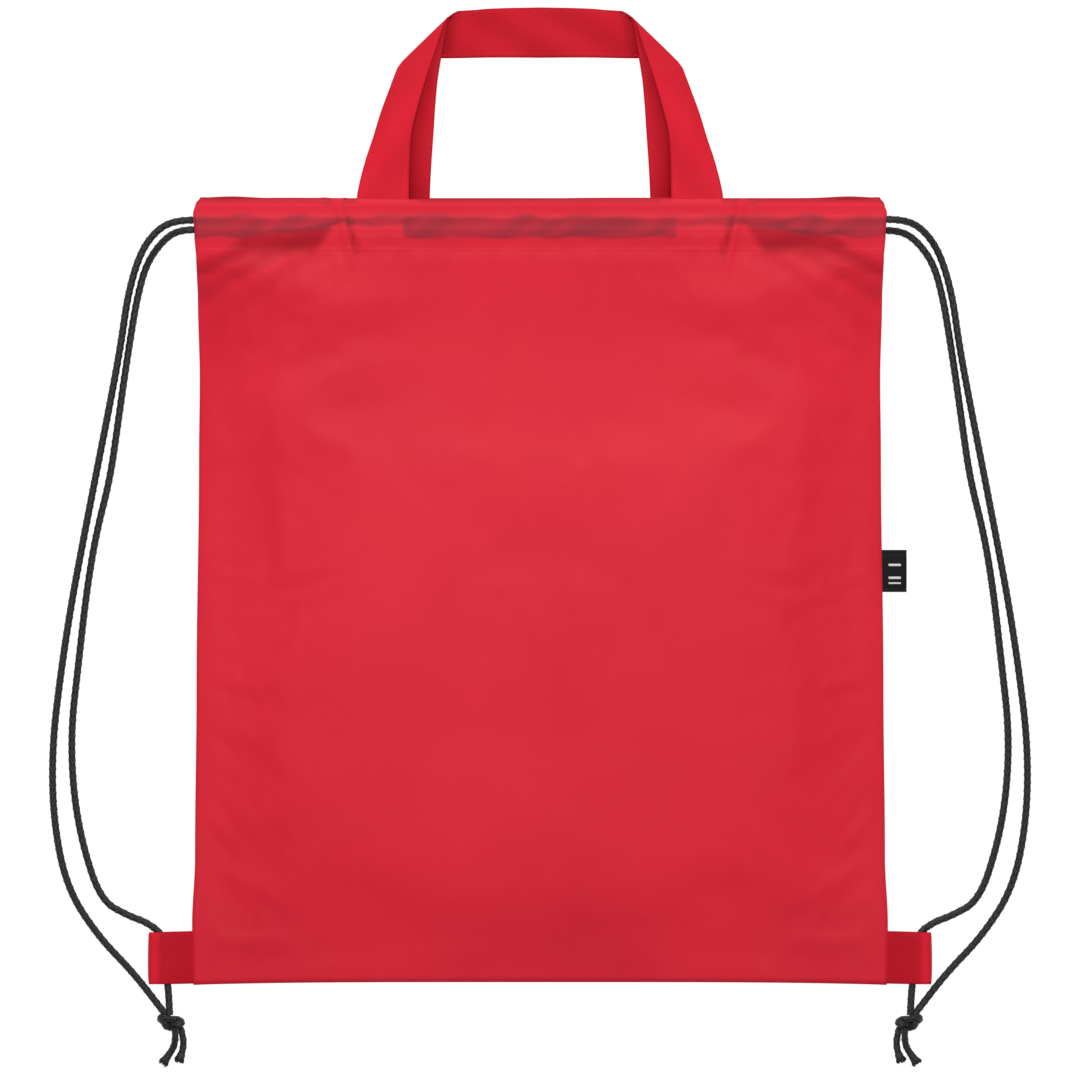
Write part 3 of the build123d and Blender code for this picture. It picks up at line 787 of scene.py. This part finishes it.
def painted_fold_shade(x, y):
    """How much painted shade deepens the red: in the hollow under the cords, in a narrow band below the upper
    stitches, in the crease beside each pucker, along the streaks, by the bottom fold and a little more
    towards the bottom.
    """
    depth, below, reach = MOUTH - y, LOWER_STITCH - y, np.abs(x)
    # painted shade in the hollow where the cloth slopes down below the lower cord, away from the light
    hollow = ease((depth - band_foot(reach) + 2.0) / 2.6) * ease((HEM_DEPTH + 4.0 - depth) / 7.0)
    hollow *= ease((reach - 102.0 - 0.62 * (depth - 10)) / 6.0)
    hollow *= ease((158.0 + 1.05 * (depth - 19) - reach) / 9.0)
    deep = (0.85 + 0.12 * np.sin(x / 6.7 + depth / 3.0)) * hollow + 0.14 * bell(depth, 7.2, 1.8)
    # painted shade in the crease beside each pucker
    slant = PUCKER - 3.0 - 0.25 * (depth - 12)
    deep += 0.8 * bell(reach, slant, 1.5) * ease((depth - 7) / 4) * ease((HEM_DEPTH + 5 - depth) / 5)
    for start, finish, width, _, strength in STREAKS:
        streak, across = on_streak(reach, below, start, finish)
        deep += strength * streak * bell(across, 0.0, width)
    # painted shade along the bottom fold
    deep += 0.16 * bell(y, BOTTOM + 18.0, 22.0) * (0.6 + 0.4 * np.sin(reach / 24.0 + 0.6))
    # painted shade, darker towards the bottom, away from the key light
    deep += 0.12 * ease((BOTTOM + 260.0 - y) / 260.0)
    return np.clip(deep, 0, 1)


SETTLE_FRAMES = 22
SPARE_CLOTH = 0.0032         # share by which the cloth is larger than the shape that holds it
SETTLE_CAP = 2.6             # furthest that the cloth may move
SETTLE_SETTINGS = {
    "quality": 5, "mass": 0.07, "tension_stiffness": 12.0, "compression_stiffness": 12.0,
    "shear_stiffness": 4.0, "bending_stiffness": 0.02, "vertex_group_mass": "held",
    "shrink_min": -SPARE_CLOTH, "use_pressure": True, "uniform_pressure_force": 0.16,
}
SEWN_REACH = 18.0            # distance from a seam over which the cloth comes free


def settle(obj, held):
    """Lets the free part of a sheet find its own soft folds between its sewn edges."""
    rest = np.array([v.co for v in obj.data.vertices])
    group = obj.vertex_groups.new(name="held")
    for index, weight in enumerate(held.ravel()):
        if weight > 0:
            group.add([index], float(weight), "REPLACE")
    cloth = obj.modifiers.new("cloth", "CLOTH")
    settings = cloth.settings
    for key, value in SETTLE_SETTINGS.items():
        setattr(settings, key, value)
    settings.effector_weights.gravity = 0.0
    cloth.collision_settings.use_collision = False
    cloth.point_cache.frame_start = 1
    cloth.point_cache.frame_end = SETTLE_FRAMES
    scene = bpy.context.scene
    for step in range(1, SETTLE_FRAMES + 1):
        scene.frame_set(step)
    mesh = mesh_of(obj)
    moved = np.array([v.co for v in mesh.vertices]) - rest
    bpy.data.meshes.remove(mesh)
    obj.modifiers.clear()
    obj.vertex_groups.clear()
    scene.frame_set(1)
    size = np.linalg.norm(moved, axis=1)[:, None] + 1e-12
    cap = SETTLE_CAP * MM
    moved *= cap * np.tanh(size / cap) / size
    return (rest + moved) / MM


def front_mouth(x):
    reach = np.abs(x)
    return MOUTH - 0.1 + 0.35 * np.sin(x / 29.0) - 0.8 * bell(reach, 161.0, 13.0)


def back_mouth(x):
    return MOUTH + 0.35 + 0.9 * bell(np.abs(x), 161.0, 13.0)


def front_cloth():
    x, y, outer_rows = cloth_grid(front_mouth)
    z = np.where(y > LOWER_STITCH, FRONT_HEM_LINE(MOUTH - y), front_panel_height(x, y))
    z[outer_rows:] = FRONT_FACING_LINE(MOUTH - y)[outer_rows:]
    z[outer_rows - 1] -= 0.12
    points = turned_edges(x, y, z, 1)
    obj = grid_mesh("front_cloth", points, flat_lengths(points))
    held = np.ones(points.shape[:2])
    held[2:PANEL_ROWS - 2, 4:COLUMNS] = 0.0
    from_seams = np.minimum(EDGE_LINE(points[..., 1]) - np.abs(points[..., 0]), points[..., 1] - BOTTOM)
    settled = settle(obj, held).reshape(points.shape)
    points = points + (settled - points) * ease(from_seams / SEWN_REACH)[..., None]
    points[:outer_rows, :, 2] += front_details(points[:outer_rows, :, 0], points[:outer_rows, :, 1])
    obj.data.vertices.foreach_set("co", (points * MM).ravel())
    # on the facing, inside the bag, the fold attribute is a flat painted shade
    for name, strength, on_facing in (("shade", show_through_and_shade, 0.0), ("fold", painted_fold_shade, 0.5)):
        values = strength(points[..., 0], points[..., 1])
        values[outer_rows:] = on_facing
        set_attribute(obj, name, values)
    obj.data.update()
    thicken(obj, CLOTH)
    return dress(obj, CLOTH_RED, "bag", "red_polyester", "front_panel", "front_hem"), points


def back_cloth():
    x, y, outer_rows = cloth_grid(back_mouth)
    seam = np.minimum(SEAM_LINE(y) - 0.45, 0.6)
    inward = EDGE_LINE(y) - np.abs(x)
    open_side = ease((LOWER_STITCH - 3.0 - y) / 10.0)
    z = np.where(y < LOWER_STITCH, 0.3, BACK_SKIN_LINE(MOUTH - y))
    z += np.maximum(seam - z, 0) * (1 - dome(inward / 24.0)) * open_side
    z += 0.05 * ripple(x, 2.2) * ease((y - 90) / 30)
    z[outer_rows:] = BACK_FACING_LINE(MOUTH - y)[outer_rows:]
    points = turned_edges(x, y, z, -1)
    obj = grid_mesh("back_cloth", points, flat_lengths(points), flip=True)
    # painted shade: the back hem's facing, inside the bag, is painted a deeper red
    fold = np.zeros(points.shape[:2])
    fold[outer_rows - 1:] = 0.9
    set_attribute(obj, "fold", fold)
    thicken(obj, CLOTH)
    return dress(obj, CLOTH_RED, "bag", "red_polyester", "back_panel", "back_hem"), points


def row_on(points, rows, level):
    """A line across a cloth grid at a Y level, lifted a little off the cloth."""
    line = []
    for column in range(2, points.shape[1] - 2):
        strip = points[rows, column]
        x, y, z = strip[np.argsort(strip[:, 1])].T
        place = np.interp(level, y, x)
        if abs(place) < HALF - 3.0:
            line.append((place, level, np.interp(level, y, z) + 0.06))
    return np.array(line)


def hem_stitches(word, points, rows):
    """The upper and the lower row of stitches of one hem."""
    lines = [row_on(points, rows, level) for level in (MOUTH - LIP, LOWER_STITCH + 0.8)]
    piece = stitches(f"{word}_hem_stitches", lines)
    return dress(piece, THREAD_RED, "bag", "red_thread", f"{word}_hem_thread")


front_piece, front_points = front_cloth()
back_piece, back_points = back_cloth()
front_stitches = hem_stitches("front", front_points, slice(PANEL_ROWS - 6, PANEL_ROWS + HEM_ROWS - 1))
back_stitches = hem_stitches("back", back_points, slice(PANEL_ROWS + HEM_ROWS, None))


# ---- handles ----
CREASE_LOW = (69.8, 224.9)
CREASE_HIGH = (44.8, 249.1)
FRONT_STATIONS = [            # outer edge, inner edge: distance from the middle, and Y
    ((95.3, 131.6), (68.3, 131.6)), ((95.3, 145.0), (68.3, 145.0)), ((95.2, 157.0), (68.3, 157.0)),
    ((91.5, 173.0), (67.9, 175.0)), ((87.1, 186.5), (66.9, 189.5)), ((83.1, 199.5), (63.4, 204.0)),
    ((78.9, 211.0), (58.6, 220.0)),
]
BACK_STATIONS = [
    ((84.4, 131.6), (57.4, 131.6)), ((84.4, 145.0), (57.4, 145.0)), ((84.2, 157.0), (57.4, 157.0)),
    ((82.0, 173.0), (56.6, 173.0)), ((79.5, 187.0), (55.4, 190.0)), ((76.8, 200.0), (54.3, 206.0)),
    ((74.2, 211.0), (52.6, 221.5)),
]
TOP_STATIONS = [              # lower edge, upper edge
    ((50.0, 228.3), (32.0, 253.6)), ((25.0, 228.7), (18.0, 254.4)),
    ((0.0, 228.6), (0.0, 254.75)),
]
STRAP_COLUMNS = 22
EDGE_INSET = 2.0             # strap edge to its row of stitches
ROLL_REACH = 0.4             # how far a rolled corner stands out, as a share of its half height
TOP_TILT = 1.6               # how much higher the top run's upper edge lies


def strap_surface(stations, leg_height, leg_z, top_z, arch, slide, stand_out):
    """The middle surface of a whole handle, from its right sewn end over the top to its left one, and which
    of its rows belong to the top run. slide is how far the strap moves along the crease on each side of it,
    and stand_out moves the whole crease outwards."""
    crease = np.array(CREASE_HIGH) - np.array(CREASE_LOW)
    outward = np.array([crease[1], -crease[0]]) / hypot(*crease)
    shift = outward * ((leg_z - top_z) / 2 * (1 - ROLL_REACH) + stand_out)
    low, high = np.array(CREASE_LOW) + shift, np.array(CREASE_HIGH) + shift
    along = crease / hypot(*crease)
    before, after = -slide[0] * along, slide[1] * along
    share = np.linspace(0, 1, STRAP_COLUMNS)

    def across(first, second):
        plan = first[..., None, :] * (1 - share[:, None]) + second[..., None, :] * share[:, None]
        return np.concatenate([plan, 0 * plan[..., :1]], axis=-1)

    leg = across(*(through(edge, 9) for edge in zip(*stations, (low + before, high + before))))
    body = 4 * share * (1 - share)
    free = ease((leg[..., 1] - 158) / 14) * ease((232 - leg[..., 1]) / 14)
    waves = 1 + 0.5 * np.sin(leg[..., 1] / 7.5 + 3.4 * share)
    leg[..., 2] = leg_height(leg[..., 1]) + body * free * arch * waves
    radius = (leg_z - top_z) / 2
    roll = []
    for angle in np.linspace(0, pi, 11)[1:]:
        row = across(low, high)
        row[:, :2] += outward * ROLL_REACH * radius * sin(angle) + before + (after - before) * angle / pi
        row[:, 2] = top_z + radius + radius * cos(angle)
        roll.append(row)
    run = across(*(through(edge, 9)[1:] for edge in zip((low + after, high + after), *TOP_STATIONS)))
    settled = ease((low[0] - run[..., 0]) / 30.0)
    waves = 0.35 * np.sin(run[..., 0] / 9.0 + 4 * share)
    run[..., 2] = top_z + settled * (TOP_TILT * (share - 0.5) + waves)
    right = np.concatenate([leg, np.array(roll), run])
    left = right[:-1][::-1] * (-1, 1, 1)
    on_top = np.concatenate([np.zeros(len(leg)), np.linspace(0, 1, len(roll)), np.ones(len(run))])
    return np.concatenate([right, left]), np.concatenate([on_top, on_top[:-1][::-1]])


def both_faces(top, under):
    """Rows that run across the top face of a strap and back across the under one."""
    return np.concatenate([top, under[:, ::-1]], axis=1)


def strap_piece(name, surface, thickness):
    """A strap with rounded edges round its middle surface, pinched a little along its rows of stitches."""
    along = np.gradient(surface, axis=0)
    across = np.gradient(surface, axis=1)
    normal = np.cross(across, along)
    normal /= np.linalg.norm(normal, axis=2)[..., None]
    width = np.linalg.norm(surface[:, -1] - surface[:, 0], axis=1)[:, None]
    share = np.linspace(0, 1, surface.shape[1])[None, :]
    from_edge = np.minimum(share, 1 - share) * width
    half = thickness / 2 * (0.25 + 0.75 * np.sqrt(1 - (1 - np.clip(from_edge / 0.5, 0, 1)) ** 2))
    half = half * (1 - 0.4 * bell(from_edge, EDGE_INSET, 0.7)) * (1 + 0.25 * dome((from_edge - 3) / 8))
    offset = normal * half[..., None]
    ring = both_faces(surface + offset, surface - offset)
    flat = flat_lengths(surface)
    return grid_mesh(name, ring, both_faces(flat, flat), closed=True, capped=True), normal, half


def edge_rows(surface, normal, half):
    """The four lines of stitches of a strap: along both edges, on both faces."""
    width = np.linalg.norm(surface[:, -1] - surface[:, 0], axis=1)
    columns = surface.shape[1] - 1
    lines = []
    inset = EDGE_INSET / width * columns
    for place in (inset, columns - inset):
        low = np.floor(place).astype(int)
        t = (place - low)[:, None]
        rows = np.arange(len(surface))
        middle = surface[rows, low] * (1 - t) + surface[rows, low + 1] * t
        way = normal[rows, low]
        depth = half[rows, low][:, None] * 0.75 + 0.05
        lines += [middle + way * depth, middle - way * depth]
    return lines


def strap_painted_shade(x, y, on_top, nested):
    """Painted shade on the straps: the top run, which shows the strap's reverse face, darker all over and
    darkest by the creases where the legs shade it, the nested back legs darker, most beside the front leg's
    inner edge, and a soft mottle of shade on the front legs.
    """
    reach = np.abs(x)
    inner_edge = 51.4 - 0.234 * (y - 228.6)
    # painted shade on the top run, darkest by the creases
    top = 0.5 + 0.5 * (1 - ease((inner_edge - reach) / 7.0)) + 0.1 * np.sin(x / 7.0 + y / 4.0)
    inner = np.array([inside for _, inside in FRONT_STATIONS] + [(49.0, 246.0)])
    if nested:
        # painted shade on the back legs, darkest beside the front leg's inner edge
        leg = 0.36 + 0.5 * bell(reach, np.interp(y, inner[:, 1], inner[:, 0]), 6.0)
    else:
        # a soft mottle of painted shade on the front legs
        leg = 0.2 + 0.1 * np.sin(y / 7.0 + reach / 5.0)
    return np.clip(leg + (top - leg) * on_top, 0, 1)


def handle(name, stations, leg_height, leg_z, top_z, arch, slide, stand_out):
    surface, on_top = strap_surface(stations, leg_height, leg_z, top_z, arch, slide, stand_out)
    strap, normal, half = strap_piece(name + "_strap", surface, STRAP)
    sewn = stitches(name + "_edge_stitches", edge_rows(surface, normal, half), STRAP_THREAD)
    x, y, _ = np.moveaxis(both_faces(surface, surface), 2, 0)
    set_attribute(strap, "fold", strap_painted_shade(x, y, on_top[:, None], name == "back_handle"))
    strap.data.materials.append(STRAP_RED)
    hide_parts(name, f"{name}_left_end", f"{name}_right_end")
    for piece in (strap, sewn):
        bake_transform(piece)


LAYER = 1.6                  # height from one nested strap layer to the next
FRONT_Z = FRONT_LEG_Z - STRAP / 2
BACK_Z = FRONT_Z - LAYER


def front_leg_height(y):
    """On the front hem's inner face below the mouth, and level above it."""
    sewn = FRONT_FACING_LINE(MOUTH - y) - 0.4
    return FRONT_Z + (sewn - FRONT_Z) * ease((MOUTH + 16 - y) / 16)


def back_leg_height(y):
    """On the back hem's inner face below the mouth, rising from there to the nested layer."""
    rise = BACK_Z - BACK_FACING_LINE(0.0) - 0.4
    return BACK_FACING_LINE(MOUTH - y) + 0.4 + rise * np.clip((y - MOUTH) / 66, 0, 1)


handle("front_handle", FRONT_STATIONS, front_leg_height, FRONT_Z, FRONT_Z - 3 * LAYER, arch=0.8,
       slide=(5.5, 4.0), stand_out=0.0)
handle("back_handle", BACK_STATIONS, back_leg_height, BACK_Z, BACK_Z - LAYER, arch=0.3,
       slide=(2.6, 2.0), stand_out=0.9)


# ---- corner tabs ----
TAB_LOW, TAB_HIGH = corners("right_corner_tab")
TAB_CLOTH = 0.7
TAB_LOOP = [                 # from inside the seam under the cord, round the outer fold and back over it
    (-1.8, 0.65), (2.5, 0.6), (9.0, 0.5), (17.0, 0.5), (21.6, 0.95), (23.7, 3.2), (22.2, 5.7), (18.0, 6.25),
    (13.5, 5.95), (8.0, 4.3), (2.5, 2.0), (0.6, 1.5), (-1.8, 1.4),
]


def corner_tab(side, word):
    """A folded loop of strap cloth, with the cord's ridge along its outer fold."""
    path = through(TAB_LOOP, 6)
    levels = np.linspace(TAB_LOW.y + 0.1, TAB_HIGH.y + 0.2, 18)
    out, up = path[:, None, 0], path[:, None, 1]
    flare = (out / 24.0) * np.linspace(1, -1, len(levels))
    x = TAB_LOW.x + out + 0.08 * np.sin(levels / 5.0) * ease((out - 18) / 5)
    y = levels + 0.5 * flare * (levels > np.mean(levels)) - 0.2 * np.abs(flare)
    z = up + 0.12 * np.sin(levels / 3.1) * ease((up - 1.5) / 2)
    surface = np.stack([side * x, y, z], axis=2)
    if side < 0:
        surface = surface[:, ::-1]
    tab, _, _ = strap_piece(f"{word}_tab_loop", surface, TAB_CLOTH)
    reach = np.array([abs(v.co.x) for v in tab.data.vertices]) / MM - TAB_LOW.x
    # painted shade on the tab inward of its outer fold, leaving a lighter painted highlight along the cord's
    # ridge
    set_attribute(tab, "fold", 0.1 + 0.5 * ease((20.5 - reach) / 4.0))
    tab.data.materials.append(STRAP_RED)
    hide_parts(f"{word}_corner_tab")
    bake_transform(tab)


for side, word in SIDES:
    corner_tab(side, word)

# ---- side label ----
LABEL_LOW, LABEL_HIGH = corners("side_label")
LABEL_CLOTH = 0.28
LABEL_BARS = (4.2, 7.0, 13.6)


def side_label():
    """A folded satin loop with plain bars on its front."""
    reach = LABEL_HIGH.x - LABEL_LOW.x - 0.5
    loop = through([(-0.8, 0.28), (4.0, 0.22), (9.0, 0.2), (reach - 0.5, 0.28), (reach, 0.55),
                    (reach - 0.5, 0.82), (9.0, 0.84), (4.0, 0.72), (-0.8, 0.58)], 10)
    levels = np.linspace(LABEL_LOW.y, LABEL_HIGH.y, 60)
    out, up = loop[:, None, 0], loop[:, None, 1]
    lift = 0.5 * ease(out / reach) * (0.6 + 0.4 * np.sin((levels - LABEL_LOW.y) / 9.0))
    surface = np.stack(np.broadcast_arrays(LABEL_LOW.x + out, levels, LABEL_LOW.z - 0.1 + up + lift), axis=2)
    label, _, _ = strap_piece("side_label_loop", surface, LABEL_CLOTH)
    co = np.array([v.co for v in label.data.vertices]) / MM
    x, y = co[:, 0] - LABEL_LOW.x, co[:, 1] - LABEL_LOW.y
    row = np.arange(len(co)) // (2 * len(levels))
    on_front = row > len(loop) / 2
    mark = np.zeros(len(co))
    for low in LABEL_BARS:
        mark += on_front & (y > low) & (y < low + 1.0) & (x > 3.2) & (x < 9.6)
    set_attribute(label, "mark", mark)
    dress(label, LABEL_BLACK, "side_label", "black_satin", "side_label")


side_label()


# ---- seam allowances ----
def seam_allowance(side, word):
    """The raw edges inside the side seam, lying on the back cloth, with an overcast inner edge."""
    levels = np.linspace(BOTTOM + 0.6, LOWER_STITCH - 2.0, 260)
    share = np.linspace(0, 1, 6)
    wander = 0.35 * np.sin(levels / 1.3) + 0.4 * np.sin(levels / 37.0)
    inset = 1.2 + share * (10.0 + wander[:, None] - 1.2)
    x = side * (EDGE_LINE(levels)[:, None] - inset)
    surface = np.stack(np.broadcast_arrays(x, levels[:, None], 0.95 - 0.1 * share), axis=2)
    obj = grid_mesh(f"{word}_seam_edge", surface, flat_lengths(surface), flip=side > 0)
    thicken(obj, 0.25)
    dress(obj, CLOTH_RED, "bag", "red_polyester", f"{word}_seam_allowance")


for side, word in SIDES:
    seam_allowance(side, word)

# ---- floor and light ----
FLOOR_REACH = 2.0            # metres from the middle to each side
floor_corners = [(x * FLOOR_REACH, y * FLOOR_REACH, 0) for x, y in ((-1, -1), (1, -1), (1, 1), (-1, 1))]
floor_mesh = bpy.data.meshes.new("floor")
floor_mesh.from_pydata(floor_corners, [], [(0, 1, 2, 3)])
floor = link(bpy.data.objects.new("floor", floor_mesh))
floor_mesh.materials.append(floor_paper())


def softbox(name, place, size, power):
    """A square area light that faces the bag."""
    data = bpy.data.lights.new(name, "AREA")
    data.size = size
    data.energy = power
    lamp = link(bpy.data.objects.new(name, data))
    lamp.location = place
    lamp.rotation_euler = (-Vector(place)).to_track_quat("-Z", "Y").to_euler()


softbox("key_light", (0.0, 0.9, 1.9), 0.9, 30.0)
softbox("fill_light", (0.3, -1.2, 1.7), 1.4, 3.0)
world = bpy.data.worlds.new("studio")
world.use_nodes = True
world.node_tree.nodes["Background"].inputs["Color"].default_value = (1.0, 1.0, 1.0, 1.0)
world.node_tree.nodes["Background"].inputs["Strength"].default_value = 0.4
bpy.context.scene.world = world
bpy.context.scene.view_settings.view_transform = "Standard"
